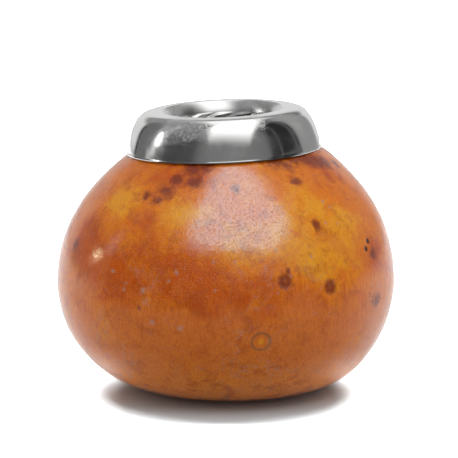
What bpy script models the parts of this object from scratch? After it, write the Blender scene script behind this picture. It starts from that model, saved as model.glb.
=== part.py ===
"""A mate gourd cup: a dried, hollow calabash with a polished metal rim pressed over its mouth.

Two solids, in metres, +Z up, standing on the gourd's own small flat foot:

  gourd_shell  the thick-walled calabash, open at the mouth, its neck hidden under the rim
  rim_collar   one turned sheet of metal: outer wall, rounded shoulder, crest, smooth funnel and a
               skirt of slanted pleats that lines the mouth

The gourd is a turned shape whose half-widths follow superellipses, with an axis that wanders a little
and a few broad swellings, because it grew. The rim is truly round, and sits slightly askew.
"""

import math

import bpy
import numpy as np

MM = 0.001

# The calabash, outside
BELLY_RADIUS = 49.9 * MM       # half of the widest ring
BELLY_HEIGHT = 32.3 * MM       # height of the widest ring above the foot
CROWN_RISE = 49.4 * MM         # from the widest ring to where the upper curve would close
CROWN_POWER = 2.08             # superellipse powers of the upper curve: along the height, across the radius
CROWN_FULLNESS = 1.69
BASE_DROP = 32.36 * MM         # from the widest ring to where the lower curve would close
BASE_POWER = 1.71              # superellipse powers of the lower curve
BASE_FULLNESS = 3.94
FOOT_DRIFT = 1.8 * MM          # how far the foot's centre lies to the side of the widest ring's
NECK_DRIFT = 2.0 * MM          # the same for the neck
CROWN_SEEN = 36.8 * MM         # height above the widest ring at which the cut neck begins

# Broad swellings of the skin: (lobes round the axis, turn in degrees, size, height, spread in height); no
# lobes is a band all round
SWELLINGS = (
    (0, 0.0, -0.35 * MM, 65.0 * MM, 8.0 * MM),
    (0, 0.0, -0.20 * MM, 11.0 * MM, 6.0 * MM),
    (2, 35.0, 0.22 * MM, 30.0 * MM, 22.0 * MM),
    (3, 80.0, 0.30 * MM, 20.0 * MM, 12.0 * MM),
    (3, 10.0, 0.22 * MM, 55.0 * MM, 14.0 * MM),
    (5, 20.0, 0.14 * MM, 40.0 * MM, 18.0 * MM),
)

# The calabash, inside
WALL = 6.0 * MM                # thickness of the shell at the belly and the base
CAVITY_RISE = 41.8 * MM        # from the widest ring to where the cavity's upper curve would close
CAVITY_SEEN = 36.4 * MM        # height above the widest ring at which the cavity meets the bore

# The cut neck in the rim's frame, (radius, height): in under the rim's edge, up inside its wall, over a
# rounded lip and down the bore
NECK = (
    (28.3 * MM, -0.9 * MM),
    (27.2 * MM, -0.1 * MM),
    (26.7 * MM, 1.6 * MM),
    (25.3 * MM, 5.6 * MM),
    (23.3 * MM, 8.0 * MM),
    (21.0 * MM, 9.2 * MM),
    (18.8 * MM, 9.2 * MM),
    (17.4 * MM, 8.3 * MM),
    (16.9 * MM, 6.8 * MM),
    (16.9 * MM, 1.8 * MM),
)

# The metal rim, in its own frame: r from its axis, h above its lower edge
SHEET = 0.8 * MM
RIM_RADIUS = 28.8 * MM         # outside of the lower edge
CREST_RADIUS = 18.0 * MM
CREST_HEIGHT = 11.8 * MM
RIM_BATTER = math.radians(9.1)  # how far the outer wall leans in
SHOULDER_POWER = 5.1           # superellipse powers of the outer wall and shoulder: radius, height
SHOULDER_FULLNESS = 1.75
SHOULDER_TURNS = (20.0, 34.0, 46.0, 57.0, 67.0, 76.0, 83.0, 87.5, 90.0)  # degrees along that curve
THROAT_RADIUS = 15.4 * MM      # where the funnel turns into the pleated skirt
THROAT_HEIGHT = 8.2 * MM
FUNNEL_POWER = 1.4             # superellipse power of the funnel, both ways
SKIRT_END = -3.0 * MM          # lower end of the skirt
SKIRT_RADIUS = 14.7 * MM       # at its lower end
BEAD = 0.14 * MM               # how far the rolled lower edge stands out
BEAD_HEIGHT = 0.5 * MM
PLEATS = 15
PLEAT_DEPTH = 0.95 * MM
PLEAT_TWIST = math.radians(36.0)  # how far a pleat's ridge turns round the axis on its way down
PLEAT_RUN = 3.0 * MM           # the depth by which most of that turn is done
PLEAT_START = 0.4 * MM         # how far above the throat the pleats begin
PLEAT_FADE = 0.7 * MM          # height over which they rise out of the funnel
PLEAT_CREST = 0.72             # where in its period a pleat stands in furthest, so that one side is steep

# How the rim sits on the gourd
RIM_SEAT = (-0.32 * MM, 0.0, 71.75 * MM)
RIM_TILT = math.radians(2.3)   # its right side is the higher one

# Mesh fineness: points round a ring, and rings along each stretch of a profile
GOURD_SIDES = 60
RIM_SIDES = PLEATS * 6
BASE_RINGS = 13
CROWN_RINGS = 12
CAVITY_ROOF_RINGS = 8
CAVITY_BOWL_RINGS = 9
BEAD_RINGS = 4
FUNNEL_RINGS = 6
SKIRT_RINGS = 9
SHARP_ANGLE = math.radians(40.0)


def superellipse(across, along, power, fullness):
    """Half-width at a share `along` (0 at the widest, 1 at the closing point) of a superellipse."""
    inside = np.clip(1.0 - np.clip(along, 0.0, 1.0) ** power, 0.0, 1.0)
    return across * inside ** (1.0 / fullness)


def outer_radius(z):
    """Radius of the round calabash at height z, before its swellings."""
    upper = superellipse(BELLY_RADIUS, (z - BELLY_HEIGHT) / CROWN_RISE, CROWN_POWER, CROWN_FULLNESS)
    lower = superellipse(BELLY_RADIUS, (BELLY_HEIGHT - z) / BASE_DROP, BASE_POWER, BASE_FULLNESS)
    return np.where(z >= BELLY_HEIGHT, upper, lower)


def inner_radius(z):
    """Radius of the cavity at height z: the same curves, a wall's thickness in."""
    across = BELLY_RADIUS - WALL
    upper = superellipse(across, (z - BELLY_HEIGHT) / CAVITY_RISE, CROWN_POWER, CROWN_FULLNESS)
    lower = superellipse(across, (BELLY_HEIGHT - z) / (BASE_DROP - WALL), BASE_POWER, BASE_FULLNESS)
    return np.where(z >= BELLY_HEIGHT, upper, lower)


def axis_drift(z):
    """Sideways place of the gourd's own axis at height z: none at the belly, most at foot and neck."""
    below = FOOT_DRIFT * (1.0 - z / BELLY_HEIGHT) ** 3
    above = NECK_DRIFT * ((z - BELLY_HEIGHT) / CROWN_RISE) ** 2
    return np.where(z >= BELLY_HEIGHT, above, below)


def swelling(angle, z):
    """Outward growth of the skin: lobes round the axis, each fading above and below its own height."""
    growth = 0.0
    for lobes, turn, size, height, spread in SWELLINGS:
        growth = growth + size * np.cos(lobes * angle + math.radians(turn)) * np.exp(-(((z - height) / spread) ** 2))
    return growth


def turned(radius, z, angle):
    """Points of rings of the given radii and heights round the gourd's wandering axis."""
    r, h = radius[:, None], z[:, None]
    return np.stack(
        (axis_drift(h) + r * np.cos(angle), r * np.sin(angle), h + 0.0 * angle), axis=-1
    )


def seated(radius, height, angle):
    """Points given in the rim's frame, tilted about Y and set on the gourd. Radius may vary round the axis."""
    c, s = math.cos(RIM_TILT), math.sin(RIM_TILT)
    x, y, h = radius * np.cos(angle), radius * np.sin(angle), height + 0.0 * angle
    return np.stack((RIM_SEAT[0] + x * c - h * s, RIM_SEAT[1] + y, RIM_SEAT[2] + x * s + h * c), axis=-1)


def ring_angles(sides):
    return np.arange(sides) * (2.0 * math.pi / sides)


def eased(first, last, count, ease=1.0):
    """Numbers from first to last, evenly spaced at ease 1 and closer together near first above it."""
    return first + (last - first) * np.linspace(0.0, 1.0, count) ** ease


def mesh_object(name, vertices, faces, material):
    mesh = bpy.data.meshes.new(name)
    mesh.from_pydata(vertices.reshape(-1, 3).tolist(), [], faces)
    mesh.materials.append(material)
    mesh.shade_smooth()
    mesh.set_sharp_from_angle(angle=SHARP_ANGLE)
    mesh.update()
    piece = bpy.data.objects.new(name, mesh)
    bpy.context.scene.collection.objects.link(piece)
    return piece


def strip_faces(rings, sides):
    """Quads between neighbouring rings, wound so that a wall whose rings climb faces outwards."""
    faces = []
    for ring in range(rings - 1):
        for side in range(sides):
            nxt = (side + 1) % sides
            low, high = ring * sides, (ring + 1) * sides
            faces.append((low + side, low + nxt, high + nxt, high + side))
    return faces


def finish(name, colour, roughness, metallic):
    material = bpy.data.materials.new(name)
    material.use_nodes = True
    shader = material.node_tree.nodes["Principled BSDF"]
    shader.inputs["Base Color"].default_value = (*colour, 1.0)
    shader.inputs["Roughness"].default_value = roughness
    shader.inputs["Metallic"].default_value = metallic
    return material


def gourd_shell():
    """The calabash: skin from foot to neck, the cut neck under the rim, the bore, and the cavity."""
    angle = ring_angles(GOURD_SIDES)

    # Skin: crowded rings near the foot, where the curve turns fastest
    below = eased(0.0, BELLY_HEIGHT, BASE_RINGS, ease=2.4)
    above = eased(BELLY_HEIGHT, BELLY_HEIGHT + CROWN_SEEN, CROWN_RINGS)[1:]
    z = np.concatenate((below, above))
    skin = turned(outer_radius(z), z, angle)
    outward = np.stack((np.cos(angle), np.sin(angle), 0.0 * angle), axis=-1)
    skin = skin + swelling(angle, z[:, None])[..., None] * outward

    # Neck and bore, cut square to the rim, so in the rim's frame
    neck = np.array(NECK)
    neck_rings = seated(neck[:, :1], neck[:, 1:], angle)

    # Cavity: down the inside to a small round floor
    upper = eased(BELLY_HEIGHT + CAVITY_SEEN, BELLY_HEIGHT, CAVITY_ROOF_RINGS, ease=1.2)
    lower = eased(WALL, BELLY_HEIGHT, CAVITY_BOWL_RINGS, ease=2.2)[-2::-1]
    z = np.concatenate((upper, lower))
    cavity = turned(inner_radius(z), z, angle)

    rings = np.concatenate((skin, neck_rings, cavity))
    faces = strip_faces(len(rings), GOURD_SIDES)
    last = (len(rings) - 1) * GOURD_SIDES
    faces.append(tuple(range(GOURD_SIDES - 1, -1, -1)))
    faces.append(tuple(range(last, last + GOURD_SIDES)))
    skin_finish = finish("lacquered_calabash", (0.55, 0.20, 0.03), 0.3, 0.0)
    return mesh_object("gourd_shell", rings, faces, skin_finish)


def rim_profile():
    """The sheet's outer face as (r, h), from the lower edge over the crest and down the skirt."""
    bead_h = np.linspace(0.0, BEAD_HEIGHT, BEAD_RINGS)
    bead_turn = np.arcsin((bead_h / CREST_HEIGHT) ** (SHOULDER_FULLNESS / 2.0))
    turn = np.concatenate((bead_turn, np.radians(SHOULDER_TURNS)))
    across = np.cos(turn) ** (2.0 / SHOULDER_POWER)
    rise = np.sin(turn) ** (2.0 / SHOULDER_FULLNESS)
    across[-1] = 0.0
    lean = math.tan(RIM_BATTER) * CREST_HEIGHT * rise * across
    wall_r = CREST_RADIUS + (RIM_RADIUS - CREST_RADIUS) * across - lean
    wall_h = CREST_HEIGHT * rise
    wall_r[:BEAD_RINGS] += BEAD * np.sin(np.pi * (0.25 + 0.75 * bead_h / BEAD_HEIGHT))

    turn = eased(math.pi / 2.0, 0.0, FUNNEL_RINGS)[1:]
    funnel_r = CREST_RADIUS - (CREST_RADIUS - THROAT_RADIUS) * np.cos(turn) ** (2.0 / FUNNEL_POWER)
    funnel_h = THROAT_HEIGHT + (CREST_HEIGHT - THROAT_HEIGHT) * np.sin(turn) ** (2.0 / FUNNEL_POWER)

    skirt_h = eased(THROAT_HEIGHT, SKIRT_END, SKIRT_RINGS, ease=1.8)[1:]
    down = (THROAT_HEIGHT - skirt_h) / (THROAT_HEIGHT - SKIRT_END)
    skirt_r = THROAT_RADIUS + (SKIRT_RADIUS - THROAT_RADIUS) * down
    return np.concatenate((wall_r, funnel_r, skirt_r)), np.concatenate((wall_h, funnel_h, skirt_h))


def pleat(angle, h):
    """Inward push of the slanted pleats at height h: a lopsided wave, none in the funnel above."""
    depth = np.maximum(THROAT_HEIGHT + PLEAT_START - h, 0.0)
    turn = PLEAT_TWIST * (1.0 - np.exp(-depth / PLEAT_RUN))
    share = ((angle - turn) * PLEATS / (2.0 * math.pi)) % 1.0
    gentle = share / PLEAT_CREST
    steep = (1.0 - share) / (1.0 - PLEAT_CREST)
    ramp = np.minimum(gentle, steep)
    wave = ramp * ramp * (3.0 - 2.0 * ramp)
    return PLEAT_DEPTH * np.minimum(depth / PLEAT_FADE, 1.0) * wave


def rim_collar():
    """The metal rim: its outer face, and its back face one sheet's thickness behind, with half the rings."""
    angle = ring_angles(RIM_SIDES)
    r, h = rim_profile()
    lining = r[:, None] < CREST_RADIUS
    push = np.where(lining, pleat(angle, h[:, None]), 0.0)
    face = seated(r[:, None] - push, h[:, None], angle)

    along = np.stack((np.gradient(r), np.gradient(h)), axis=-1)
    along /= np.linalg.norm(along, axis=-1, keepdims=True)
    kept = np.concatenate(([0], np.arange(3, len(r) - 2, 2), [len(r) - 1]))
    back_r = (r - along[:, 1] * SHEET)[kept]
    back_h = (h + along[:, 0] * SHEET)[kept]
    back_r[0], back_h[0], back_h[-1] = RIM_RADIUS - SHEET, h[0], h[-1]
    back = seated(back_r[:, None] - push[kept], back_h[:, None], angle)

    rings = np.concatenate((face, back[::-1], face[:1]))
    count = len(rings) - 1
    faces = []
    for low, high, mid_low, mid_high in strip_faces(len(rings), RIM_SIDES):
        faces.append(tuple(v % (count * RIM_SIDES) for v in (low, high, mid_low, mid_high)))
    metal = finish("polished_metal", (0.75, 0.75, 0.75), 0.15, 1.0)
    return mesh_object("rim_collar", rings[:-1], faces, metal)


def main():
    for old in list(bpy.data.objects):
        bpy.data.objects.remove(old)
    gourd_shell()
    rim_collar()


main()
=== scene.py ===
"""A mate gourd cup, dressed: the lacquered calabash and its polished metal rim, on a plain studio floor.

Lengths are in metres, +Z is up and the front is -Y. A "turn" is an angle round the cup in degrees, 0 at the
front and growing towards the right (+X). Each operator makes one piece; main() runs them all in order.
"""

import math

import bpy
import numpy as np
from bpy.props import FloatProperty, FloatVectorProperty, IntProperty, PointerProperty
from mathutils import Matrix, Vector


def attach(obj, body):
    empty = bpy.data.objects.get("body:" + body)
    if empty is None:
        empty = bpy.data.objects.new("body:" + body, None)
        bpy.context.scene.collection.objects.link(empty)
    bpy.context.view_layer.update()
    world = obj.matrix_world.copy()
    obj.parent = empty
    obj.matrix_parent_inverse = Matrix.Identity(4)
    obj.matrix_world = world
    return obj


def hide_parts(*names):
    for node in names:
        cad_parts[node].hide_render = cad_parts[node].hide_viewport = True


bl_info = {
    "name": "Mate Gourd Cup",
    "version": (1, 0, 0),
    "blender": (4, 5, 0),
    "location": "3D View > Sidebar > Mate Cup",
    "description": "Models a mate cup made of a lacquered calabash with a polished metal rim",
    "category": "Add Mesh",
}

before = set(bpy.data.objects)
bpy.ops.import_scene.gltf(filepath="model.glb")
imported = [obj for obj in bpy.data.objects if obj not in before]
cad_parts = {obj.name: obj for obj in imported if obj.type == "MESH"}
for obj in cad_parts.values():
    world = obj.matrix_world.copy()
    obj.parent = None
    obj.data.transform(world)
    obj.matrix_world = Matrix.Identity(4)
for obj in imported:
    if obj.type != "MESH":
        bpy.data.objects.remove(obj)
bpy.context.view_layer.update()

MM = 0.001


def spots(*rows):
    """Places on the cup, from rows of (turn in degrees, height in mm, radius in mm)."""
    return tuple((turn, height * MM, radius * MM) for turn, height, radius in rows)


# Superellipse powers of the gourd, (along its height, across it), above its widest ring and below
CROWN = (2.08, 1.69)
BASE = (1.71, 3.94)

# Broad swellings of the skin: (lobes round the axis, their phase in degrees, size, height, spread). One
# without lobes is a band all round.
SWELLINGS = (
    (0, 0.0, -0.35 * MM, 65.0 * MM, 8.0 * MM),
    (0, 0.0, -0.20 * MM, 11.0 * MM, 6.0 * MM),
    (2, 35.0, 0.22 * MM, 30.0 * MM, 22.0 * MM),
    (3, 80.0, 0.30 * MM, 20.0 * MM, 12.0 * MM),
    (3, 10.0, 0.22 * MM, 55.0 * MM, 14.0 * MM),
    (5, 20.0, 0.14 * MM, 40.0 * MM, 18.0 * MM),
)

# Marks on the skin; one of the specks is a painted glint on the first knot
GOLD = spots(
    (32.0, 59.0, 12.0),
    (24.0, 49.5, 8.0),
    (4.0, 50.0, 7.0),
    (47.0, 50.0, 9.0),
    (-20.0, 58.0, 8.0),
    (-48.0, 61.0, 7.0),
    (33.0, 43.0, 6.0),
    (120.0, 56.0, 13.0),
    (-125.0, 52.0, 12.0),
    (175.0, 47.0, 12.0),
)
RUST = spots(
    (-50.0, 44.0, 9.0),
    (-37.0, 40.0, 8.0),
    (-27.0, 45.0, 8.0),
    (-12.0, 40.0, 9.0),
    (3.0, 38.0, 10.0),
    (14.0, 37.5, 7.0),
    (31.0, 37.0, 6.0),
    (-62.0, 50.0, 7.0),
    (62.0, 44.0, 6.0),
    (-30.0, 66.0, 7.0),
    (-16.0, 69.0, 5.0),
    (-34.0, 57.0, 6.0),
    (-52.0, 67.0, 5.0),
    (60.0, 68.0, 7.0),
    (95.0, 41.0, 13.0),
    (150.0, 62.0, 12.0),
    (-95.0, 47.0, 12.0),
    (-160.0, 38.0, 14.0),
)
UMBER = spots(
    (61.0, 30.0, 6.0),
    (40.0, 27.0, 8.0),
    (27.0, 33.0, 5.0),
    (20.0, 18.0, 8.0),
    (-19.0, 26.0, 8.0),
    (-6.0, 22.0, 6.0),
    (-36.0, 30.0, 6.0),
    (4.0, 30.0, 6.0),
    (-58.0, 38.0, 5.0),
    (130.0, 26.0, 10.0),
    (-120.0, 28.0, 10.0),
)
STAINS = spots(
    (28.0, 71.4, 4.6),
    (34.0, 70.4, 3.6),
    (38.0, 73.0, 5.2),
    (44.0, 71.8, 5.6),
    (51.0, 71.6, 5.8),
    (58.0, 70.8, 5.4),
    (66.0, 69.8, 4.6),
    (78.0, 68.4, 3.2),
    (34.5, 66.4, 2.7),
    (36.0, 55.2, 2.2),
    (61.5, 44.3, 2.8),
    (60.8, 31.2, 4.2),
    (-28.0, 63.6, 3.4),
    (-31.0, 61.8, 2.8),
    (-27.0, 67.6, 2.8),
    (-16.0, 66.8, 3.4),
    (-13.0, 71.4, 4.6),
    (-20.5, 70.2, 3.4),
    (-38.0, 62.6, 2.0),
    (-29.5, 32.6, 1.2),
    (3.6, 65.4, 2.4),
    (21.5, 43.6, 1.1),
    (-66.0, 47.0, 2.4),
    (150.0, 58.0, 5.0),
    (-150.0, 44.0, 4.0),
    (170.0, 70.0, 4.5),
    (-118.0, 66.0, 4.0),
    (112.0, 40.0, 3.2),
)
KNOTS = spots(
    (20.3, 40.8, 2.9),
    (37.4, 37.9, 3.0),
    (-138.0, 36.0, 2.2),
    (128.0, 52.0, 1.9),
)
SCARS = spots(
    (12.2, 23.6, 3.0),
    (-160.0, 22.0, 2.4),
)
PITS = spots(
    (61.0, 48.2, 1.2),
    (58.4, 46.3, 1.2),
    (-145.0, 51.0, 0.7),
)
SPECKS_AND_KNOT_GLINT = spots(
    (-4.2, 46.5, 0.7),
    (-16.6, 43.4, 0.9),
    (-14.0, 44.4, 0.6),
    (-19.2, 40.8, 0.8),
    (-35.0, 39.2, 0.8),
    (-35.5, 37.4, 0.8),
    (-28.0, 37.8, 1.3),
    (3.2, 46.8, 0.6),
    (17.8, 49.2, 1.0),
    (31.0, 46.9, 0.8),
    # A painted glint: a pale speck at the upper right of the first knot
    (22.3, 42.1, 0.7),
    (17.6, 37.6, 0.7),
    (-3.3, 38.6, 0.8),
    (44.0, 60.6, 0.9),
    (46.5, 59.0, 0.8),
    (41.0, 55.4, 0.9),
    (47.0, 54.6, 0.8),
    (-15.0, 27.6, 1.4),
    (-25.0, 28.6, 1.2),
    (-41.0, 42.0, 1.0),
)

# Relief of a mark: smooth rings as (height, distance from its centre, width), the last two in shares of its
# radius
KNOT_RELIEF = ((0.12 * MM, 1.0, 0.3), (-0.30 * MM, 0.0, 0.7), (0.30 * MM, 0.0, 0.3))
SCAR_RELIEF = ((0.13 * MM, 0.95, 0.16), (-0.10 * MM, 0.65, 0.2))
PIT_RELIEF = ((-0.35 * MM, 0.0, 0.8165),)

# The skin's ripples: their wavelengths, and the waves of each that run different ways
RIPPLES = (26.0 * MM, 19.0 * MM, 13.0 * MM, 9.0 * MM, 6.5 * MM)
RIPPLE_WAVES = 3
RIPPLE_SEED = 11

# Tints by which the fibres darken and lighten the skin
FIBRE_DARK = (0.84, 0.80, 0.74)
FIBRE_LIGHT = (1.12, 1.14, 1.14)

# The skin's rings: their points' crowding at the front, the gap under the rim's edge, the power of height
# with which they tilt along it, and the heights over which the relief fades out at the foot and at the rim
FRONT_CROWDING = 0.4
SKIN_GAP = 0.12 * MM
TILT_POWER = 6
FOOT_FADE = 5.0 * MM
RIM_FADE = 3.0 * MM

# Where the skin is tucked in under the rim: its gap to the sheet, and how fast it may widen below that
TUCK_GAP = 0.3 * MM
TUCK_SLOPE = 1.9

# The cavity: its top above the widest ring, how far its crown lies under the skin's, the rings of its roof
# and of its bowl, and the power by which the bowl's rings crowd towards the floor
ROOF_RISE = 36.4 * MM
CROWN_WALL = 7.6 * MM
ROOF_RINGS = 16
BOWL_RINGS = 20
BOWL_CROWDING = 2.2

# The cut neck in the rim's frame: (radius, height) of its rings, in under the rim's edge and down the bore
NECK = (
    (27.2 * MM, 0.2 * MM),
    (26.7 * MM, 1.6 * MM),
    (25.3 * MM, 5.6 * MM),
    (23.3 * MM, 8.0 * MM),
    (21.0 * MM, 9.2 * MM),
    (18.8 * MM, 9.2 * MM),
    (17.4 * MM, 8.3 * MM),
    (16.9 * MM, 6.8 * MM),
    (16.9 * MM, 1.8 * MM),
)

# The rim's profile: the lean of its wall, the powers of its shoulder (across, up) and of its funnel, the
# crowding of the skirt's rings at the throat, the rings of each stretch, and where the lining's duller finish
# starts and over how many rings it comes in
WALL_LEAN = math.radians(9.1)
SHOULDER = (5.1, 1.75)
FUNNEL = 1.4
SKIRT_CROWDING = 1.5
BEAD_RINGS = 7
WALL_RINGS = 45
FUNNEL_RINGS = 29
SKIRT_RINGS = 40
CREST_RING = BEAD_RINGS + WALL_RINGS
LINING_START = CREST_RING - 2
LINING_BLEND = 8.0

# A pleat: points across it, its whole twist, the depth that most of it takes, its start above the throat, the
# depth over which it rises, and the place of its ridge across it
PLEAT_SIDES = 28
PLEAT_TWIST = math.radians(36.0)
PLEAT_RUN = 3.0 * MM
PLEAT_START = 0.4 * MM
PLEAT_FADE = 0.7 * MM
PLEAT_RIDGE = 0.72

# Worn, grainy places of the rim's shoulder, their heights taken from its lower edge
GRIT = spots(
    (-36.0, 10.6, 3.2),
    (-25.0, 9.8, 3.4),
    (-15.0, 9.6, 2.4),
    (27.0, 10.9, 1.8),
    (150.0, 9.0, 4.0),
    (-140.0, 8.5, 3.5),
)
SHARP_ANGLE = math.radians(50.0)

# The room that polished surfaces reflect, later patches over earlier ones: (what it is, azimuth from the
# front with the right positive, elevation, half width, half height, blur of its edges, brightness), with
# angles in degrees
ROOM = (
    ("pale wall behind", -175.0, -4.0, 41.0, 26.0, 9.0, 0.92),
    ("above it", -162.0, 38.0, 26.0, 14.0, 12.0, 0.36),
    ("pale wall right", 127.0, 8.0, 21.0, 28.0, 5.0, 0.36),
    ("brighter end of it", 116.0, 30.0, 7.0, 12.0, 12.0, 0.45),
    ("above the right wall", 152.0, 44.0, 38.0, 13.0, 14.0, 0.40),
    ("gap by the left wall", -130.5, 6.0, 1.8, 15.0, 3.0, 0.03),
    ("above the left wall", -128.0, 54.0, 42.0, 14.0, 14.0, 0.30),
    ("dark front left", -58.0, 18.0, 23.0, 17.0, 14.0, 0.075),
    ("front wall", 10.0, 20.0, 34.0, 20.0, 18.0, 0.23),
    ("dark windows", 82.0, 24.0, 23.0, 32.0, 6.0, 0.028),
    ("window frame, upright", 74.0, 34.0, 1.5, 24.0, 2.5, 0.12),
    ("window frame, right", 99.0, 30.0, 2.0, 30.0, 3.0, 0.13),
    ("window frame, sill", 80.0, 10.0, 26.0, 2.0, 4.0, 0.13),
    ("strip light's foot", -102.0, 4.0, 4.0, 5.0, 5.0, 0.60),
    ("strip light", -96.0, 13.0, 3.5, 7.0, 7.0, 0.95),
    ("strip light's top", -87.0, 42.0, 3.5, 14.0, 8.0, 0.80),
    ("strip light's core", -92.0, 22.0, 2.8, 7.0, 5.0, 6.0),
)

# Overhead softboxes: (height, colour, parts), the brightest part counting. A part is (brightness, edges). An
# edge is (direction that it faces in degrees from the right towards the back, distance from straight
# overhead, width of its soft border), the last two in shares of the height. At one height, the panels would
# hide each other.
GOURD_SHINE = (
    (-90.0, 1.26, 0.10),
    (-5.0, 0.96, 0.08),
    (22.0, 0.55, 0.08),
    (54.0, 0.09, 0.07),
    (148.0, 0.05, 0.09),
    (166.0, 0.24, 0.08),
)
GOURD_SHEEN = ((0.0, 0.16, 0.12), (90.0, 0.05, 0.60), (180.0, 0.0, 0.16), (-90.0, 0.5, 0.1))
GOURD_SOFTBOX = (1.0, (0.35, 0.80, 1.0), ((1.0, GOURD_SHINE), (0.30, GOURD_SHEEN)))
METAL_SHINE = ((-90.0, 0.40, 1.40), (20.0, 0.33, 0.15), (90.0, 0.45, 0.25), (162.0, 0.05, 0.12))
METAL_SHEEN = ((0.0, 0.16, 0.20), (90.0, 0.75, 0.30), (180.0, 0.12, 0.15), (-90.0, -0.05, 0.20))
METAL_SOFTBOX = (1.1, (1.0, 1.0, 1.0), ((1.0, METAL_SHINE), (0.7, METAL_SHEEN)))
SOFTBOX_REACH = 2.5

# Square lamps, as (place, side), and the point that they are aimed at
KEY = ((0.25, -0.35, 1.2), 1.4)
FLOOR_LIGHT = ((0.0, 0.7, 1.3), 2.0)
GLINT = ((-0.90, 0.17, 0.22), 0.06)
GLINT_COLOUR = (1.0, 0.95, 0.60)
LAMP_AIM = (0.0, 0.0, 0.04)

# The floor: the depths between which it dims in reflections towards its front, the distances between which
# that dimming grows and its shares there, and the distances and depths between which its light grows near
# the cup's front
DIM_DEPTHS = (0.02, -0.06)
DIM_DISTANCES = (0.05, 0.35)
DIM_SHARES = (0.70, 0.95)
NEAR_DISTANCES = (0.060, 0.018)
NEAR_DEPTHS = (0.015, -0.02)


def length(name, description, default):
    return FloatProperty(name=name, description=description, default=default, unit="LENGTH")


def amount(name, description, default, unit="NONE"):
    return FloatProperty(name=name, description=description, default=default, min=0.0, unit=unit)


def degrees(name, description, default):
    return FloatProperty(name=name, description=description, default=math.radians(default), subtype="ANGLE")


def point(name, description, default):
    return FloatVectorProperty(
        name=name, description=description, default=default, subtype="TRANSLATION", unit="LENGTH", precision=5
    )


def shade(name, description, default):
    return FloatVectorProperty(
        name=name, description=description, default=default, subtype="COLOR", size=3, min=0.0, max=1.0
    )


class GourdSettings(bpy.types.PropertyGroup):
    belly_radius: length("Belly radius", "Half of the widest ring", 49.86 * MM)
    belly_height: length("Belly height", "Height of the widest ring above the foot", 32.3 * MM)
    crown_rise: length("Crown rise", "From the widest ring to where the upper curve would close", 49.4 * MM)
    base_drop: length("Base drop", "From the widest ring to where the lower curve would close", 32.36 * MM)
    foot_drift: length("Foot drift", "How far the foot's centre lies to the side", 1.8 * MM)
    neck_drift: length("Neck drift", "How far the neck's centre would lie to the side", 2.0 * MM)
    wall: length("Wall", "Thickness of the shell", 6.0 * MM)
    waviness: length("Waviness", "Height of the skin's low ripples", 0.05 * MM)
    sides: IntProperty(name="Sides", description="Points round each ring", default=480, min=60)
    rings: IntProperty(name="Rings", description="Rings from foot to rim", default=162, min=20)
    gold: shade("Gold", "The lightest colour of the skin", (0.53, 0.205, 0.008))
    amber: shade("Amber", "The main colour of the skin", (0.475, 0.120, 0.002))
    rust: shade("Rust", "The redder colour of the skin", (0.37, 0.062, 0.001))
    umber: shade("Umber", "The colour of the dull brown clouds", (0.42, 0.106, 0.020))
    # Foot: painted light, a lighter and more orange colour standing in for the floor's bounce at the very
    # foot
    foot: shade("Foot", "The colour round the foot", (0.68, 0.22, 0.045))
    mottle: shade("Mottle", "The colour of the mottles and flecks", (0.22, 0.034, 0.004))
    stain: shade("Stain", "The colour of the dark blotches", (0.13, 0.017, 0.003))
    scar_ring: shade("Scar ring", "The brown ring of a scar", (0.17, 0.075, 0.028))
    # Pit: painted shade, the near-black painted into the pits' hollows
    pit: shade("Pit", "The colour of the small deep pits", (0.02, 0.012, 0.01))
    # Bloom: real dullness, and also the colour of the painted glint on the first knot
    bloom_and_glint: shade("Bloom", "Where the lacquer has gone dull", (0.30, 0.17, 0.13))
    raw: shade("Raw", "The unlacquered inside", (0.34, 0.20, 0.09))
    raw_dark: shade("Raw, dark", "The darker clouds of the inside", (0.20, 0.11, 0.045))


class RimSettings(bpy.types.PropertyGroup):
    sheet: length("Sheet", "Thickness of the metal", 0.8 * MM)
    rim_radius: length("Rim radius", "Outside of the lower edge", 28.8 * MM)
    crest_radius: length("Crest radius", "Radius of the highest ring", 18.0 * MM)
    crest_height: length("Crest height", "Height of the crest above the lower edge", 11.8 * MM)
    throat_radius: length("Throat radius", "Where the funnel turns into the skirt", 15.4 * MM)
    throat_height: length("Throat height", "Height of the throat above the lower edge", 8.2 * MM)
    skirt_radius: length("Skirt radius", "Radius of the skirt's lower end", 14.7 * MM)
    skirt_end: length("Skirt end", "Height of the skirt's lower end", -3.0 * MM)
    bead: length("Bead", "How far the rolled lower edge stands out", 0.08 * MM)
    bead_height: length("Bead height", "Height of the rolled lower edge", 0.5 * MM)
    pleats: IntProperty(name="Pleats", description="Pleats round the skirt", default=15, min=3)
    pleat_depth: length("Pleat depth", "How far a pleat's ridge stands in", 0.95 * MM)
    seat: point("Seat", "Centre of the rim's lower edge", (-0.32 * MM, 0.0, 71.75 * MM))
    tilt: degrees("Tilt", "Lean of the rim, its right side up", 2.3)
    metal: shade("Metal", "Colour of the polished metal", (0.90, 0.90, 0.89))


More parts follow.
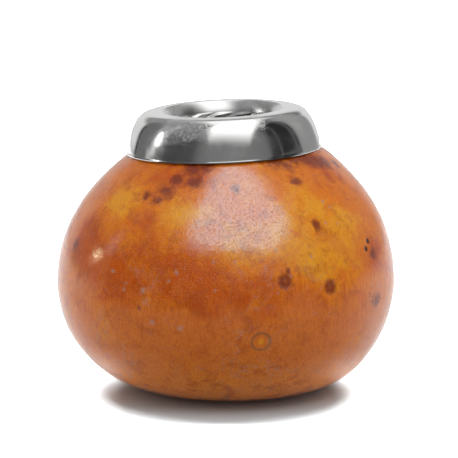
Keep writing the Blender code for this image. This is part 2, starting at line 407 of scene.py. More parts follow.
class StudioSettings(bpy.types.PropertyGroup):
    camera_distance: length("Camera distance", "From the point looked at", 1.0)
    camera_height: degrees("Camera height", "Elevation of the view", 10.1)
    target: point("Target", "The point looked at", (1.14 * MM, 0.0, 47.6 * MM))
    lens: amount("Lens", "Focal length in millimetres", 265.8)
    floor: shade("Floor", "Colour of the floor", (0.46, 0.48, 0.49))
    floor_reach: length("Floor reach", "Half of the floor's side", 3.0)
    bounce: amount("Bounce", "Share of its light that the floor sends to the cup", 0.085)
    near_bounce: amount("Near bounce", "The same close to the cup's front", 1.0)
    floor_power: amount("Floor power", "Power of the floor's light", 520.0, "POWER")
    sky: amount("Sky", "Strength of the even light from all round", 1.0)
    room: amount("Room", "Brightness of the room in reflections", 0.19)
    key_power: amount("Key power", "Power of the light overhead", 14.0, "POWER")
    glint_power: amount("Glint power", "Power of the small light at the left", 0.50, "POWER")
    gourd_gloss: amount("Gourd gloss", "Strength of the softbox on the gourd", 12.0)
    metal_gloss: amount("Metal gloss", "Strength of the softbox on the metal", 1.3)


def superellipse(across, along, power, fullness):
    """Half-width across * (1 - along^power)^(1/fullness): full where along is 0, closed where it is 1."""
    inside = np.clip(1.0 - np.clip(along, 0.0, 1.0) ** power, 0.0, 1.0)
    return across * inside ** (1.0 / fullness)


def skin_radius(z, s):
    """Radius of the round gourd at height z: one superellipse above the widest ring, another below."""
    upper = superellipse(s.belly_radius, (z - s.belly_height) / s.crown_rise, *CROWN)
    lower = superellipse(s.belly_radius, (s.belly_height - z) / s.base_drop, *BASE)
    return np.where(z >= s.belly_height, upper, lower)


def axis_drift(z, s):
    """Sideways place of the gourd's axis: the cube of the way from the belly down to the foot, and the square
    of the way up to the crown."""
    below = s.foot_drift * (1.0 - z / s.belly_height) ** 3
    above = s.neck_drift * ((z - s.belly_height) / s.crown_rise) ** 2
    return np.where(z >= s.belly_height, above, below)


def about_axis(radius, angle, z, s):
    """Points at a radius and an angle round the gourd's drifting axis."""
    x = axis_drift(z, s) + radius * np.cos(angle)
    return np.stack((x, radius * np.sin(angle), z + 0.0 * angle), axis=-1)


def skin_points(angle, z, s):
    """Points of the smooth skin: a ring's radius plus a few cosines round the axis that fade with height."""
    radius = skin_radius(z, s)
    for lobes, phase, size, height, spread in SWELLINGS:
        fade = np.exp(-(((z - height) / spread) ** 2))
        radius = radius + size * np.cos(lobes * angle + math.radians(phase)) * fade
    return about_axis(radius, angle, z, s)


def seated(radius, height, angle, r):
    """Rim-frame points (radius, angle, height) tilted about Y and moved to the rim's seat."""
    c, s = math.cos(r.tilt), math.sin(r.tilt)
    x, y, h = radius * np.cos(angle), radius * np.sin(angle), height + 0.0 * angle
    return np.stack((r.seat[0] + x * c - h * s, r.seat[1] + y, r.seat[2] + x * s + h * c), axis=-1)


def in_rim_frame(points, r):
    """The way back of seated: (x, y, h) of points about the rim's own axis."""
    c, s = math.cos(r.tilt), math.sin(r.tilt)
    dx, dy, dz = points[..., 0] - r.seat[0], points[..., 1] - r.seat[1], points[..., 2] - r.seat[2]
    return dx * c + dz * s, dy, dz * c - dx * s


def ring_angles(sides, crowding=0.0):
    """Angles round the axis, packed closer at the front: each is t - crowding * sin(t) from the front."""
    t = np.arange(sides) * (2.0 * math.pi / sides)
    return t - crowding * np.sin(t) - math.pi / 2.0


def distance_to_mark(points, turn, height, s):
    """Straight distance to the point of the smooth skin at a turn and a height."""
    centre = skin_points(np.array(math.radians(turn - 90.0)), np.array(height), s)
    return np.linalg.norm(points - centre, axis=-1)


def smooth(share):
    """Smooth step: 0 below 0, 1 above 1, and 3x^2 - 2x^3 between."""
    share = np.clip(share, 0.0, 1.0)
    return share * share * (3.0 - 2.0 * share)


def nearness(points, marks, s):
    """1 at a mark's centre and falling evenly to 0 at its radius and on; the largest over all marks."""
    near = np.full(points.shape[:-1], -1.0)
    for turn, height, radius in marks:
        near = np.maximum(near, 1.0 - distance_to_mark(points, turn, height, s) / radius)
    return near


def patchwork(points, patches, s):
    """Sum over the patches of exp(-(distance / radius)^2), at most 1."""
    total = np.zeros(points.shape[:-1])
    for turn, height, radius in patches:
        total += np.exp(-((distance_to_mark(points, turn, height, s) / radius) ** 2))
    return np.minimum(total, 1.0)


def relief(points, s):
    """Outward push of the skin: sine waves along random directions, and for each knot, scar and pit a sum of
    height * exp(-((q - place) / width)^2), q being the distance to it in shares of its radius."""
    rng = np.random.default_rng(RIPPLE_SEED)
    push = np.zeros(points.shape[:-1])
    for wavelength in RIPPLES:
        for _ in range(RIPPLE_WAVES):
            heading = rng.normal(size=3)
            heading *= 2.0 * math.pi / wavelength / np.linalg.norm(heading)
            ripple = np.sin(points @ heading + rng.uniform(0.0, 2.0 * math.pi))
            push += s.waviness * (wavelength / RIPPLES[0]) * ripple / 2.0
    for marks, profile in ((KNOTS, KNOT_RELIEF), (SCARS, SCAR_RELIEF), (PITS, PIT_RELIEF)):
        for turn, height, radius in marks:
            q = distance_to_mark(points, turn, height, s) / radius
            for crest, place, width in profile:
                push += crest * np.exp(-(((q - place) / width) ** 2))
    return push


def even_heights(count, top, s):
    """Heights from the foot's edge to the top whose rings lie evenly along the skin's own curve."""
    samples = np.linspace(0.0, 1.0, 600)
    below = samples**3.0 * s.belly_height
    above = s.belly_height + samples[1:] * (top - s.belly_height)
    z = np.concatenate((below, above))
    along = np.concatenate(([0.0], np.cumsum(np.hypot(np.diff(skin_radius(z, s)), np.diff(z)))))
    return np.interp(np.linspace(0.0, along[-1], count), along, z)


def skin_rings(angle, s, r):
    """The smooth skin from the foot to the rim, and the share of its relief at each point: 0 at both ends.
    Heights change by a power of height, so that the last ring runs along the tilted rim's edge."""
    top = r.seat[2] + (r.seat[0] + r.rim_radius * np.cos(angle)) * math.tan(r.tilt) - SKIN_GAP
    level = even_heights(s.rings, r.seat[2] - SKIN_GAP, s)[:, None]
    z = level + (top - r.seat[2] + SKIN_GAP) * (level / r.seat[2]) ** TILT_POWER
    return skin_points(angle, z, s), smooth(z / FOOT_FADE) * smooth((top - z) / RIM_FADE)


def raised_skin(skin, share, s, r):
    """The skin moved along its normals by a share of its relief, never under the foot, and tucked in where it
    would touch the rim's edge: at most a radius there that grows evenly with the depth below the edge."""
    across = np.roll(skin, -1, axis=1) - np.roll(skin, 1, axis=1)
    normal = np.cross(across, np.gradient(skin, axis=0))
    normal /= np.linalg.norm(normal, axis=-1, keepdims=True)
    skin = skin + (share * relief(skin, s))[..., None] * normal
    skin[..., 2] = np.maximum(skin[..., 2], 0.0)
    x, y, h = in_rim_frame(skin, r)
    allowed = r.rim_radius - r.sheet - TUCK_GAP + TUCK_SLOPE * np.maximum(-h, 0.0)
    return seated(np.minimum(np.hypot(x, y), allowed), h, np.arctan2(y, x), r)


def cavity_rings(angle, s):
    """The cavity from under the neck down to its floor: the skin's two superellipses less the wall."""
    roof = np.linspace(s.belly_height + ROOF_RISE, s.belly_height, ROOF_RINGS)
    bowl = s.wall + (s.belly_height - s.wall) * np.linspace(1.0, 0.0, BOWL_RINGS)[1:] ** BOWL_CROWDING
    z = np.concatenate((roof, bowl))[:, None]
    across = s.belly_radius - s.wall
    upper = superellipse(across, (z - s.belly_height) / (s.crown_rise - CROWN_WALL), *CROWN)
    lower = superellipse(across, (s.belly_height - z) / (s.base_drop - s.wall), *BASE)
    return about_axis(np.where(z >= s.belly_height, upper, lower), angle, z, s)


def ring_quads(rings, sides, closed=False):
    """Quads between neighbouring rings of a grid that closes round, and their UVs as shares of both ways."""
    last = rings if closed else rings - 1
    ring, side = np.meshgrid(np.arange(last), np.arange(sides), indexing="ij")
    corners = ((0, 0), (0, 1), (1, 1), (1, 0))
    quads = [((ring + up) % rings) * sides + (side + along) % sides for up, along in corners]
    shares = [np.stack(((side + along) / sides, (ring + up) / rings), axis=-1) for up, along in corners]
    return np.stack(quads, axis=-1).reshape(-1, 4), np.stack(shares, axis=-2).reshape(-1, 2)


def mesh_piece(name, points, quads, shares, caps=()):
    """A smooth mesh object from grid points. A cap is (its ring's vertices in outward order, its centre)."""
    points = list(map(tuple, points.reshape(-1, 3)))
    faces = quads.tolist()
    uvs = [shares]
    for rim, centre in caps:
        hub = len(points)
        points.append(tuple(centre))
        faces.extend([int(a), int(b), hub] for a, b in zip(rim, np.roll(rim, -1)))
        uvs.append(np.zeros((3 * len(rim), 2)))
    mesh = bpy.data.meshes.new(name)
    mesh.from_pydata(points, [], faces)
    mesh.uv_layers.new(name="round").data.foreach_set("uv", np.concatenate(uvs).ravel())
    mesh.shade_smooth()
    mesh.update()
    piece = bpy.data.objects.new(name, mesh)
    bpy.context.scene.collection.objects.link(piece)
    return piece


def point_values(piece, name, values):
    """Stores one number for each vertex, with 0 for those past the end, for a material to read."""
    held = np.zeros(len(piece.data.vertices), np.float32)
    held[: values.size] = values.ravel()
    piece.data.attributes.new(name, "FLOAT", "POINT").data.foreach_set("value", held)


def add_node(tree, kind, inputs=None, **settings):
    """Adds a node, sets its own settings, and fills its inputs with values or links from sockets."""
    made = tree.nodes.new(kind)
    for key, value in settings.items():
        setattr(made, key, value)
    for key, value in (inputs or {}).items():
        if isinstance(value, bpy.types.NodeSocket):
            tree.links.new(value, made.inputs[key])
        else:
            made.inputs[key].default_value = value
    return made


def noise_outputs(tree, vector, scale, detail, roughness, distortion=0.0):
    """A noise's value and colour, at a scale in waves per metre."""
    values = {"Vector": vector, "Scale": scale, "Detail": detail, "Roughness": roughness}
    return add_node(tree, "ShaderNodeTexNoise", values | {"Distortion": distortion}).outputs


def noise(tree, *settings):
    return noise_outputs(tree, *settings)["Fac"]


def noise_triple(tree, *settings):
    """Three noises that don't depend on each other, from the colour of one node."""
    return add_node(tree, "ShaderNodeSeparateColor", {0: noise_outputs(tree, *settings)["Color"]}).outputs


def maths(tree, operation, first, second=0.0, third=0.0):
    values = {0: first, 1: second, 2: third}
    return add_node(tree, "ShaderNodeMath", values, operation=operation).outputs[0]


def ease(tree, value, low, high, out_low=0.0, out_high=1.0):
    """Smooth step of a value from low to high."""
    made = add_node(
        tree,
        "ShaderNodeMapRange",
        {"Value": value, "From Min": low, "From Max": high, "To Min": out_low, "To Max": out_high},
        interpolation_type="SMOOTHSTEP",
    )
    return made.outputs["Result"]


def mix(tree, share, first, second, blend="MIX"):
    """Two colours mixed by a share from 0 to 1."""
    colours = {0: share, 6: first, 7: second}
    return add_node(tree, "ShaderNodeMix", colours, data_type="RGBA", blend_type=blend).outputs[2]


def attribute(tree, name):
    return add_node(tree, "ShaderNodeAttribute", attribute_name=name).outputs["Fac"]


def rgba(colour):
    return (*colour, 1.0)


def grey(tree, value):
    return add_node(tree, "ShaderNodeCombineColor", {0: value, 1: value, 2: value}).outputs[0]


def new_material(name):
    """A material with its node tree and its shader."""
    material = bpy.data.materials.new(name)
    material.use_nodes = True
    return material, material.node_tree, material.node_tree.nodes["Principled BSDF"]


def fine_grain_group():
    """Group: two noises along a vector, one stretched, as a height and as a share of light and dark."""
    group = bpy.data.node_groups.new("Fine grain", "ShaderNodeTree")
    for name, kind in (("Vector", "NodeSocketVector"), ("Stretch", "NodeSocketVector")):
        group.interface.new_socket(name, in_out="INPUT", socket_type=kind)
    group.interface.new_socket("Scale", in_out="INPUT", socket_type="NodeSocketFloat")
    for name in ("Height", "Tone"):
        group.interface.new_socket(name, in_out="OUTPUT", socket_type="NodeSocketFloat")
    given = add_node(group, "NodeGroupInput").outputs
    ways = {0: given["Vector"], 1: given["Stretch"]}
    pulled = add_node(group, "ShaderNodeVectorMath", ways, operation="MULTIPLY").outputs[0]
    lines = noise(group, pulled, given["Scale"], 4.0, 0.6)
    grains = noise(group, given["Vector"], given["Scale"], 2.0, 0.6)
    tone = maths(group, "MULTIPLY_ADD", lines, 0.6, maths(group, "MULTIPLY", grains, 0.4))
    height = maths(group, "MULTIPLY_ADD", lines, 0.4, maths(group, "MULTIPLY", grains, 0.6))
    add_node(group, "NodeGroupOutput", {"Height": height, "Tone": tone})
    return group


def ground_colour(tree, s, level, broad, cloud):
    """The skin's broad colours: rust, amber and gold by warmth, brown in clouds and towards the foot, and
    lighter and more orange at the very foot, a painted glow of the floor's bounced light."""
    # Warmth runs from rust at 0 over amber at a half to gold at 1
    warmth = maths(tree, "MULTIPLY_ADD", attribute(tree, "gold"), 0.42, -0.52)
    warmth = maths(tree, "MULTIPLY_ADD", attribute(tree, "rust"), -0.34, warmth)
    warmth = maths(tree, "MULTIPLY_ADD", broad[0], 0.95, warmth)
    warmth = maths(tree, "MULTIPLY_ADD", cloud[0], 0.95, warmth)
    colour = mix(tree, ease(tree, warmth, 0.02, 0.46), rgba(s.rust), rgba(s.amber))
    colour = mix(tree, ease(tree, warmth, 0.46, 0.90), colour, rgba(s.gold))
    low = ease(tree, level, 40.0 * MM, 12.0 * MM, -0.06, 0.16)
    brown = maths(tree, "ADD", maths(tree, "MULTIPLY_ADD", attribute(tree, "umber"), 0.30, low), broad[1])
    colour = mix(tree, ease(tree, brown, 0.44, 0.74, 0.0, 0.70), colour, rgba(s.umber))
    # Painted bounce light: the very foot is mixed towards the lighter foot colour
    return mix(tree, ease(tree, level, 20.0 * MM, 2.0 * MM, 0.0, 0.80), colour, rgba(s.foot))


def mottled(tree, s, colour, cloud, fine, fibre):
    """A colour with mottles, fibres and small flecks."""
    mottle = maths(tree, "MULTIPLY_ADD", fine, 0.4, -0.2)
    mottle = maths(tree, "MULTIPLY_ADD", attribute(tree, "rust"), 0.05, mottle)
    mottle = maths(tree, "ADD", cloud[1], mottle)
    colour = mix(tree, ease(tree, mottle, 0.50, 0.68, 0.0, 0.40), colour, rgba(s.mottle))
    streak = mix(tree, ease(tree, fibre["Tone"], 0.34, 0.66), rgba(FIBRE_DARK), rgba(FIBRE_LIGHT))
    colour = mix(tree, 1.0, colour, streak, "MULTIPLY")
    return mix(tree, ease(tree, fine, 0.56, 0.74, 0.0, 0.30), colour, rgba(s.mottle))


def marked(tree, s, colour, cloud, fine):
    """A colour with ragged stains and knots, scars as brown rings round a lighter middle, and pits painted
    near-black, painted shade of their hollows.
    """
    ragged = maths(tree, "MULTIPLY_ADD", cloud[1], 1.5, maths(tree, "MULTIPLY_ADD", fine, 1.1, -1.3))
    stain = maths(tree, "ADD", attribute(tree, "stain"), ragged)
    colour = mix(tree, ease(tree, stain, -0.05, 0.80, 0.0, 0.88), colour, rgba(s.stain))
    knot = maths(tree, "MULTIPLY_ADD", ragged, 0.35, attribute(tree, "knot"))
    colour = mix(tree, ease(tree, knot, -0.05, 0.55, 0.0, 0.88), colour, rgba(s.stain))
    colour = mix(tree, ease(tree, knot, 0.74, 0.92, 0.0, 0.40), colour, rgba(s.rust))
    scar = maths(tree, "MULTIPLY_ADD", ragged, 0.05, attribute(tree, "scar"))
    off_ring = maths(tree, "ABSOLUTE", maths(tree, "SUBTRACT", scar, 0.11))
    colour = mix(tree, ease(tree, off_ring, 0.20, 0.04, 0.0, 0.75), colour, rgba(s.scar_ring))
    colour = mix(tree, ease(tree, scar, 0.2, 0.5, 0.0, 0.4), colour, rgba(s.amber))
    colour = mix(tree, ease(tree, scar, 0.55, 0.85, 0.0, 0.7), colour, rgba(s.gold))
    # Painted shade: the pits' hollows are painted near-black
    return mix(tree, ease(tree, attribute(tree, "pit"), 0.05, 0.5, 0.0, 0.95), colour, rgba(s.pit))


def dull_and_glint_share(tree, level, broad, cloud, fine):
    """How dull and grey the lacquer has gone: in specks, one of them a painted glint on the first knot, and
    in thin wisps over the lower half.
    """
    speck = ease(tree, maths(tree, "MULTIPLY_ADD", fine, 1.6, attribute(tree, "speck")), 0.85, 1.5, 0.0, 0.6)
    off_vein = maths(tree, "ABSOLUTE", maths(tree, "SUBTRACT", cloud[2], 0.47))
    wisp = maths(tree, "MULTIPLY", ease(tree, off_vein, 0.030, 0.0), ease(tree, level, 52.0 * MM, 40.0 * MM))
    wisp = maths(tree, "MULTIPLY", wisp, ease(tree, broad[0], 0.46, 0.62, 0.0, 0.40))
    return maths(tree, "MAXIMUM", speck, wisp)


def calabash_material(s, grain):
    """Lacquered skin with its colours, marks, fibres and pores, and a raw inside. Painted into its colour are
    a glow of bounced light at the foot, a glint on a knot and shade in the pits.
    """
    material, tree, shader = new_material("Lacquered calabash")
    where = add_node(tree, "ShaderNodeTexCoord").outputs["Object"]
    level = add_node(tree, "ShaderNodeSeparateXYZ", {0: where}).outputs["Z"]
    broad = noise_triple(tree, where, 60.0, 3.0, 0.55, 0.5)
    cloud = noise_triple(tree, where, 210.0, 5.0, 0.62, 0.5)
    fine = noise(tree, where, 760.0, 4.0, 0.65)
    fibre = grain_in(tree, grain, where, (1.0, 1.0, 0.11), 2100.0)

    colour = ground_colour(tree, s, level, broad, cloud)
    colour = mottled(tree, s, colour, cloud, fine, fibre)
    colour = marked(tree, s, colour, cloud, fine)
    dull = dull_and_glint_share(tree, level, broad, cloud, fine)
    # The dull share also paints the glint on the first knot in the bloom colour
    colour = mix(tree, dull, colour, rgba(s.bloom_and_glint))
    inside = attribute(tree, "inside")
    raw = mix(tree, ease(tree, cloud[0], 0.3, 0.7), rgba(s.raw), rgba(s.raw_dark))
    colour = mix(tree, inside, colour, raw)

    pores = ease(tree, noise(tree, where, 3100.0, 2.0, 0.6), 0.52, 0.72)
    height = maths(tree, "MULTIPLY_ADD", pores, 1.1, maths(tree, "MULTIPLY_ADD", fine, 0.4, fibre["Height"]))
    bump = add_node(tree, "ShaderNodeBump", {"Strength": 1.0, "Distance": 0.05 * MM, "Height": height})
    lacquer = maths(tree, "MULTIPLY_ADD", dull, 0.3, ease(tree, cloud[0], 0.35, 0.7, 0.02, 0.06))
    rough = add_node(tree, "ShaderNodeMix", {0: inside, 2: lacquer, 3: 0.75}, data_type="FLOAT").outputs[0]
    for key, value in (("Base Color", colour), ("Roughness", rough), ("Normal", bump.outputs[0])):
        tree.links.new(value, shader.inputs[key])
    shader.inputs["IOR"].default_value = 1.42
    return material


def grain_in(tree, group, vector, stretch, scale):
    """Places the fine grain group and gives back its outputs."""
    made = add_node(tree, "ShaderNodeGroup", node_tree=group)
    tree.links.new(vector, made.inputs["Vector"])
    made.inputs["Stretch"].default_value = stretch
    made.inputs["Scale"].default_value = scale
    return made.outputs


def metal_material(r, grain):
    """Polished metal with fine lines round it, a faint haze, a worn shoulder and a duller lining."""
    material, tree, shader = new_material("Polished metal")
    where = add_node(tree, "ShaderNodeTexCoord").outputs["Object"]
    lines = grain_in(tree, grain, where, (0.04, 0.04, 1.0), 2600.0)
    haze = noise(tree, where, 120.0, 4.0, 0.6, 0.4)
    grit = ease(tree, noise(tree, where, 2600.0, 2.0, 0.6), 0.50, 0.72)
    worn = maths(tree, "MULTIPLY", attribute(tree, "grit"), ease(tree, haze, 0.22, 0.62))
    height = maths(tree, "MULTIPLY_ADD", maths(tree, "MULTIPLY", grit, worn), 40.0, lines["Height"])
    bump = add_node(tree, "ShaderNodeBump", {"Strength": 1.0, "Distance": 0.004 * MM, "Height": height})
    rough = ease(tree, maths(tree, "MULTIPLY_ADD", lines["Tone"], 0.5, haze), 0.5, 1.0, 0.07, 0.22)
    rough = maths(tree, "MULTIPLY_ADD", attribute(tree, "lining"), 0.16, rough)
    colour = mix(tree, 1.0, rgba(r.metal), grey(tree, ease(tree, haze, 0.3, 0.7, 0.92, 1.0)), "MULTIPLY")
    for key, value in (("Base Color", colour), ("Roughness", rough), ("Normal", bump.outputs[0])):
        tree.links.new(value, shader.inputs[key])
    shader.inputs["Metallic"].default_value = 1.0
    return material


def grain_group():
    """The one fine grain group that both materials use."""
    return bpy.data.node_groups.get("Fine grain") or fine_grain_group()


class MATE_OT_calabash(bpy.types.Operator):
    """Models the calabash: its skin with relief, the cut neck under the rim, the bore and the cavity"""

    bl_idname = "mate.calabash"
    bl_label = "Calabash"

    def execute(self, context):
        s, r = context.scene.mate_gourd, context.scene.mate_rim
        angle = ring_angles(s.sides, FRONT_CROWDING)
        skin, share = skin_rings(angle, s, r)
        neck = np.array(NECK)
        neck_rings = seated(neck[:, :1], neck[:, 1:], angle, r)
        points = np.concatenate((raised_skin(skin, share, s, r), neck_rings, cavity_rings(angle, s)))

        quads, shares = ring_quads(len(points), s.sides)
        first = np.arange(s.sides)[::-1]
        last = np.arange(s.sides) + (len(points) - 1) * s.sides
        caps = ((first, points[0].mean(axis=0)), (last, points[-1].mean(axis=0)))
        piece = mesh_piece("calabash_shell", points, quads, shares, caps)

        for name, patches in (("gold", GOLD), ("rust", RUST), ("umber", UMBER)):
            point_values(piece, name, patchwork(skin, patches, s))
        marks = {"stain": STAINS, "knot": KNOTS, "scar": SCARS, "pit": PITS, "speck": SPECKS_AND_KNOT_GLINT}
        for name, places in marks.items():
            point_values(piece, name, nearness(skin, places, s))
        inside = np.zeros(points.shape[:2])
        inside[len(skin) + 1:] = 1.0
        point_values(piece, "inside", inside)
        piece.data.materials.append(calabash_material(s, grain_group()))
        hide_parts("gourd_shell")
        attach(piece, "root")
        return {"FINISHED"}


def rim_profile(r):
    """The sheet's outer face as (radius, height): a superellipse wall and shoulder that leans in, with part
    of a sine as the bead at its foot, then a superellipse funnel and a straight skirt."""
    across_power, up_power = SHOULDER
    bead_h = np.linspace(0.0, r.bead_height, BEAD_RINGS)
    bead_turn = np.arcsin((bead_h / r.crest_height) ** (up_power / 2.0))
    turn = np.concatenate((bead_turn, np.linspace(bead_turn[-1], math.pi / 2.0, WALL_RINGS + 1)[1:]))
    across = np.cos(turn) ** (2.0 / across_power)
    across[-1] = 0.0
    wall_h = r.crest_height * np.sin(turn) ** (2.0 / up_power)
    wall_r = r.crest_radius + (r.rim_radius - r.crest_radius - math.tan(WALL_LEAN) * wall_h) * across
    wall_r[:BEAD_RINGS] += r.bead * np.sin(math.pi * (0.25 + 0.75 * bead_h / r.bead_height))
    turn = np.linspace(math.pi / 2.0, 0.0, FUNNEL_RINGS + 1)[1:]
    funnel_r = r.crest_radius - (r.crest_radius - r.throat_radius) * np.cos(turn) ** (2.0 / FUNNEL)
    funnel_h = r.throat_height + (r.crest_height - r.throat_height) * np.sin(turn) ** (2.0 / FUNNEL)
    down = np.linspace(0.0, 1.0, SKIRT_RINGS + 1)[1:] ** SKIRT_CROWDING
    skirt_r = r.throat_radius + (r.skirt_radius - r.throat_radius) * down
    skirt_h = r.throat_height + (r.skirt_end - r.throat_height) * down
    return np.concatenate((wall_r, funnel_r, skirt_r)), np.concatenate((wall_h, funnel_h, skirt_h))


def pleat(angle, h, r):
    """Inward push of the slanted pleats: a lopsided wave round the skirt, turned at a depth below their start
    by twist * (1 - exp(-depth / run))."""
    depth = np.maximum(r.throat_height + PLEAT_START - h, 0.0)
    turn = PLEAT_TWIST * (1.0 - np.exp(-depth / PLEAT_RUN))
    share = ((angle - turn) / (2.0 * math.pi / r.pleats)) % 1.0
    ramp = np.minimum(share / PLEAT_RIDGE, (1.0 - share) / (1.0 - PLEAT_RIDGE))
    return r.pleat_depth * np.minimum(depth / PLEAT_FADE, 1.0) * smooth(ramp)


def sheet_rings(radius, height, angle, r):
    """The profile turned round with its pleats, then back along the inner face: every other ring of the
    profile set off across it by the sheet."""
    in_lining = (np.arange(len(radius)) > CREST_RING)[:, None]
    push = np.where(in_lining, pleat(angle, height[:, None], r), 0.0)
    face = seated(radius[:, None] - push, height[:, None], angle, r)
    along = np.stack((np.gradient(radius), np.gradient(height)), axis=-1)
    along /= np.linalg.norm(along, axis=-1, keepdims=True)
    kept = np.concatenate(([0], np.arange(3, len(radius) - 2, 2), [len(radius) - 1]))
    back_r = (radius - along[:, 1] * r.sheet)[kept]
    back_h = (height + along[:, 0] * r.sheet)[kept]
    back_r[0] = r.rim_radius - r.sheet
    back_h[[0, -1]] = height[[0, -1]]
    back = seated(back_r[:, None] - push[kept], back_h[:, None], angle, r)
    return np.concatenate((face, back[::-1]))


def wear(height, angle, r):
    """Sum over the worn places of exp(-(distance / radius)^2), measured round the rim and up it; none past
    the crest."""
    total = np.zeros((len(height), len(angle)))
    for turn, level, reach in GRIT:
        round_it = (angle - math.radians(turn - 90.0) + math.pi) % (2.0 * math.pi) - math.pi
        total += np.exp(-((np.hypot(round_it * r.rim_radius, height[:, None] - level) / reach) ** 2))
    total[CREST_RING + 1:] = 0.0
    return total


class MATE_OT_rim(bpy.types.Operator):
    """Models the metal rim: one turned sheet with wall, shoulder, crest, funnel and pleated skirt"""

    bl_idname = "mate.rim"
    bl_label = "Metal rim"

    def execute(self, context):
        r = context.scene.mate_rim
        sides = r.pleats * PLEAT_SIDES
        angle = ring_angles(sides)
        radius, height = rim_profile(r)
        points = sheet_rings(radius, height, angle, r)
        quads, shares = ring_quads(len(points), sides, closed=True)
        piece = mesh_piece("metal_rim", points, quads, shares)
        point_values(piece, "grit", wear(height, angle, r))
        lining = smooth((np.arange(len(height)) - LINING_START) / LINING_BLEND)
        point_values(piece, "lining", np.repeat(lining, sides))
        piece.data.set_sharp_from_angle(angle=SHARP_ANGLE)
        piece.data.materials.append(metal_material(r, grain_group()))
        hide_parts("rim_collar")
        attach(piece, "root")
        return {"FINISHED"}


def patch(tree, way, azimuth, elevation, half_width, half_height, blur):
    """1 inside a box of azimuth and elevation in degrees, eased to 0 over the blur at its edges."""
    turn = maths(tree, "WRAP", maths(tree, "SUBTRACT", way[0], azimuth), 180.0, -180.0)
    lift = maths(tree, "SUBTRACT", way[1], elevation)
    inside = [
        ease(tree, maths(tree, "ABSOLUTE", away), half + blur / 2.0, half - blur / 2.0)
        for away, half in ((turn, half_width), (lift, half_height))
    ]
    return maths(tree, "MULTIPLY", *inside)


def build_world(st):
    """Even light from all round; what is polished sees a dim room with the patches of ROOM in it instead."""
    world = bpy.data.worlds.new("Studio")
    world.use_nodes = True
    tree = world.node_tree
    tree.nodes.clear()
    sight = add_node(tree, "ShaderNodeTexCoord").outputs["Generated"]
    axes = add_node(tree, "ShaderNodeSeparateXYZ", {0: sight}).outputs
    turn = maths(tree, "ARCTAN2", axes["X"], maths(tree, "MULTIPLY", axes["Y"], -1.0))
    way = [maths(tree, "DEGREES", turn), maths(tree, "DEGREES", maths(tree, "ARCSINE", axes["Z"]))]
    seen = st.room
    for _, azimuth, elevation, half_width, half_height, blur, level in ROOM:
        share = patch(tree, way, azimuth, elevation, half_width, half_height, blur)
        seen = add_node(tree, "ShaderNodeMix", {0: share, 2: seen, 3: level}, data_type="FLOAT").outputs[0]
    room = add_node(tree, "ShaderNodeBackground", {"Strength": seen})
    even = add_node(tree, "ShaderNodeBackground", {"Strength": st.sky})
    glossy = add_node(tree, "ShaderNodeLightPath").outputs["Is Glossy Ray"]
    both = add_node(tree, "ShaderNodeMixShader", {0: glossy, 1: even.outputs[0], 2: room.outputs[0]})
    add_node(tree, "ShaderNodeOutputWorld", {"Surface": both.outputs[0]})
    return world


def build_floor(st):
    """A wide pale floor. To the cup it is dimmer than to the camera, but for what is near the cup's front,
    and its front is dimmer still in reflections."""
    mesh = square("floor", st.floor_reach, 0.0)
    material, tree, shader = new_material("Studio floor")
    place = add_node(tree, "ShaderNodeTexCoord").outputs["Object"]
    away = add_node(tree, "ShaderNodeVectorMath", {0: place}, operation="LENGTH").outputs["Value"]
    depth = add_node(tree, "ShaderNodeSeparateXYZ", {0: place}).outputs["Y"]
    path = add_node(tree, "ShaderNodeLightPath").outputs
    reflected_front = maths(tree, "MULTIPLY", ease(tree, depth, *DIM_DEPTHS), path["Is Glossy Ray"])
    dimmed = maths(tree, "MULTIPLY", ease(tree, away, *DIM_DISTANCES, *DIM_SHARES), reflected_front)
    near = maths(tree, "MULTIPLY", ease(tree, away, *NEAR_DISTANCES), ease(tree, depth, *NEAR_DEPTHS))
    sent = maths(tree, "MULTIPLY_ADD", near, st.near_bounce - st.bounce, st.bounce)
    sent = maths(tree, "MULTIPLY", sent, maths(tree, "SUBTRACT", 1.0, dimmed))
    colour = mix(tree, path["Is Camera Ray"], grey(tree, sent), rgba(st.floor))
    tree.links.new(colour, shader.inputs["Base Color"])
    shader.inputs["Roughness"].default_value = 0.9
    shader.inputs["Specular IOR Level"].default_value = 0.0
    mesh.materials.append(material)
    floor = bpy.data.objects.new("floor", mesh)
    bpy.context.scene.collection.objects.link(floor)


def lamp(name, setting, power):
    """A square area lamp at a place and of a side, aimed at the cup."""
    place, side = setting
    data = bpy.data.lights.new(name, "AREA")
    data.shape = "SQUARE"
    data.size = side
    data.energy = power
    made = bpy.data.objects.new(name, data)
    bpy.context.scene.collection.objects.link(made)
    made.location = place
    made.rotation_euler = (Vector(LAMP_AIM) - made.location).to_track_quat("-Z", "Y").to_euler()
    return made


def lit_only(light, name):
    """Lets a light or a glowing panel reach one object only."""
    linked = bpy.data.collections.new(light.name)
    linked.objects.link(bpy.data.objects[name])
    light.light_linking.receiver_collection = linked


def within(tree, place, edges, height):
    """Product over the edges of a smooth step: 1 up to an edge's distance, 0 at the end of its border."""
    share = 1.0
    for direction, distance, border in edges:
        way = (math.cos(math.radians(direction)) / height, math.sin(math.radians(direction)) / height, 0.0)
        along = add_node(tree, "ShaderNodeVectorMath", {0: place, 1: way}, operation="DOT_PRODUCT")
        step = ease(tree, along.outputs["Value"], distance + border, distance)
        share = maths(tree, "MULTIPLY", share, step)
    return share


def square(name, reach, height):
    """A flat square mesh centred over the origin."""
    mesh = bpy.data.meshes.new(name)
    corners = ((-1.0, -1.0), (1.0, -1.0), (1.0, 1.0), (-1.0, 1.0))
    mesh.from_pydata([(reach * x, reach * y, height) for x, y in corners], [], [(0, 1, 2, 3)])
    return mesh


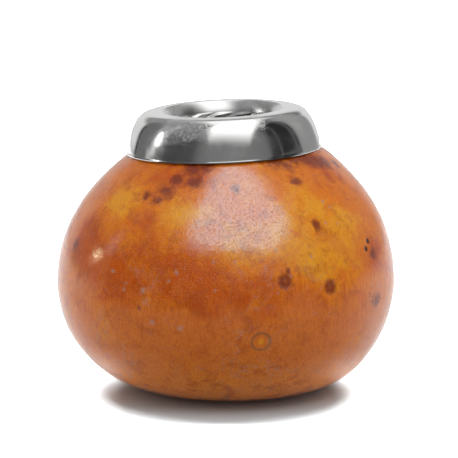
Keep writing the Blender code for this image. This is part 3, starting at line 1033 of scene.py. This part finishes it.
def softbox(name, receiver, design, strength):
    """A glowing panel overhead that only one piece reflects, lit within the edges of its parts."""
    height, colour, parts = design
    mesh = square(name, SOFTBOX_REACH * height, height)
    panel = bpy.data.objects.new(name, mesh)
    bpy.context.scene.collection.objects.link(panel)
    material = bpy.data.materials.new(name)
    material.use_nodes = True
    tree = material.node_tree
    tree.nodes.clear()
    place = add_node(tree, "ShaderNodeTexCoord").outputs["Object"]
    seen = 0.0
    for level, edges in parts:
        lit = maths(tree, "MULTIPLY", within(tree, place, edges, height), level * strength)
        seen = maths(tree, "MAXIMUM", seen, lit)
    glow = add_node(tree, "ShaderNodeEmission", {"Color": rgba(colour), "Strength": seen})
    clear = add_node(tree, "ShaderNodeBsdfTransparent")
    both = add_node(tree, "ShaderNodeAddShader", {0: clear.outputs[0], 1: glow.outputs[0]})
    add_node(tree, "ShaderNodeOutputMaterial", {"Surface": both.outputs[0]})
    mesh.materials.append(material)
    for seen_by in ("camera", "diffuse", "shadow", "transmission", "volume_scatter"):
        setattr(panel, "visible_" + seen_by, False)
    lit_only(panel, receiver)


def studio_camera(st):
    """The camera at its distance from the target and its angle above it."""
    camera = bpy.data.objects.new("camera", bpy.data.cameras.new("camera"))
    bpy.context.scene.collection.objects.link(camera)
    camera.data.lens = st.lens
    camera.data.sensor_width = 36.0
    camera.data.clip_end = 20.0
    lift = st.camera_height
    camera.location = Vector(st.target) + Vector((0.0, -math.cos(lift), math.sin(lift))) * st.camera_distance
    camera.rotation_euler = (math.pi / 2.0 - lift, 0.0, 0.0)
    return camera


class MATE_OT_studio(bpy.types.Operator):
    """Sets up the floor, the room, the lamps, the softboxes and the camera"""

    bl_idname = "mate.studio"
    bl_label = "Studio"

    def execute(self, context):
        scene = context.scene
        st = scene.mate_studio
        build_floor(st)
        scene.world = build_world(st)

        lamp("key", KEY, st.key_power).visible_glossy = False
        lit_only(lamp("floor light", FLOOR_LIGHT, st.floor_power), "floor")
        glint = lamp("glint on gourd", GLINT, st.glint_power)
        glint.data.color = GLINT_COLOUR
        lit_only(glint, "calabash_shell")
        softbox("softbox on gourd", "calabash_shell", GOURD_SOFTBOX, st.gourd_gloss)
        softbox("softbox on metal", "metal_rim", METAL_SOFTBOX, st.metal_gloss)
        scene.camera = studio_camera(st)
        scene.view_settings.view_transform = "Standard"
        return {"FINISHED"}


class MATE_PT_panel(bpy.types.Panel):
    bl_label = "Mate Cup"
    bl_space_type = "VIEW_3D"
    bl_region_type = "UI"
    bl_category = "Mate Cup"

    def draw(self, context):
        for title, settings, operators in (
            ("Calabash", context.scene.mate_gourd, ("mate.calabash",)),
            ("Metal rim", context.scene.mate_rim, ("mate.rim",)),
            ("Studio", context.scene.mate_studio, ("mate.studio",)),
        ):
            box = self.layout.box()
            box.label(text=title)
            for name in settings.__annotations__:
                box.prop(settings, name)
            for operator in operators:
                box.operator(operator)


CLASSES = (
    GourdSettings,
    RimSettings,
    StudioSettings,
    MATE_OT_calabash,
    MATE_OT_rim,
    MATE_OT_studio,
    MATE_PT_panel,
)


def register():
    for made in CLASSES:
        bpy.utils.register_class(made)
    bpy.types.Scene.mate_gourd = PointerProperty(type=GourdSettings)
    bpy.types.Scene.mate_rim = PointerProperty(type=RimSettings)
    bpy.types.Scene.mate_studio = PointerProperty(type=StudioSettings)


def unregister():
    del bpy.types.Scene.mate_studio
    del bpy.types.Scene.mate_rim
    del bpy.types.Scene.mate_gourd
    for made in reversed(CLASSES):
        bpy.utils.unregister_class(made)


def main():
    """Registers the classes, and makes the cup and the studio."""
    register()
    bpy.ops.mate.calabash()
    bpy.ops.mate.rim()
    bpy.ops.mate.studio()


if __name__ == "__main__":
    main()
